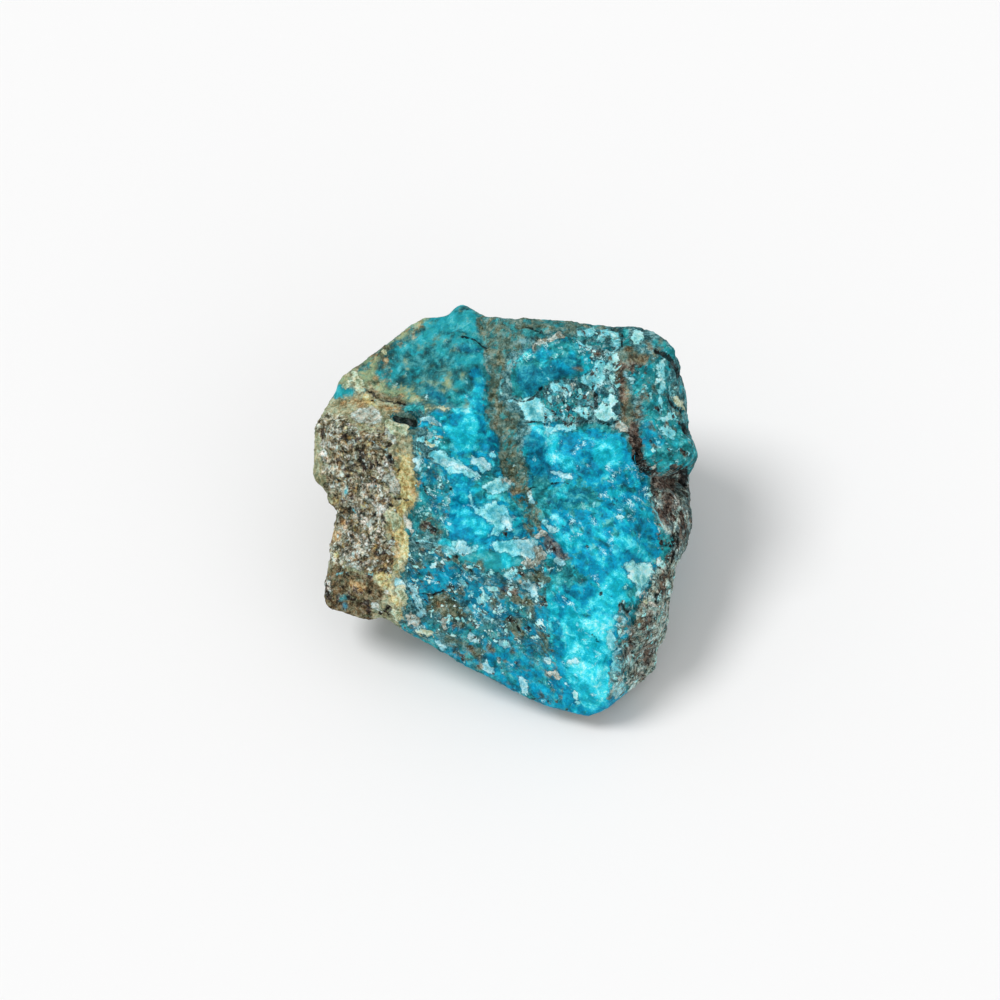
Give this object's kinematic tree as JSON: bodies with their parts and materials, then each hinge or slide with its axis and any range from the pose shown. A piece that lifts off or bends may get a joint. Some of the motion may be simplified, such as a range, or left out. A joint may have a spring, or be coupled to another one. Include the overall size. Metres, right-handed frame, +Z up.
{
  "type": "rough chrysocolla mineral specimen",
  "caption": "Rough hand-size chunk of blue-green chrysocolla on brown country rock, with a hackly broken surface and a flat underside to stand on.",
  "frame": {"origin": "middle of the bounding box, on the ground that the stone stands on", "axes": "+Z up; the show face rises towards +Y and looks up and towards -Y; +X to the right of someone who looks at the show face"},
  "size_m": [0.0636, 0.061, 0.041],
  "materials": {
    "stone": "rough broken stone: vivid blue and cyan chrysocolla with white chalcedony crusts, olive and brown country rock and an ochre rim, waxy where it is blue and dull elsewhere"
  },
  "bodies": {
    "root": {"stone": "stone"}
  },
  "joints": []
}
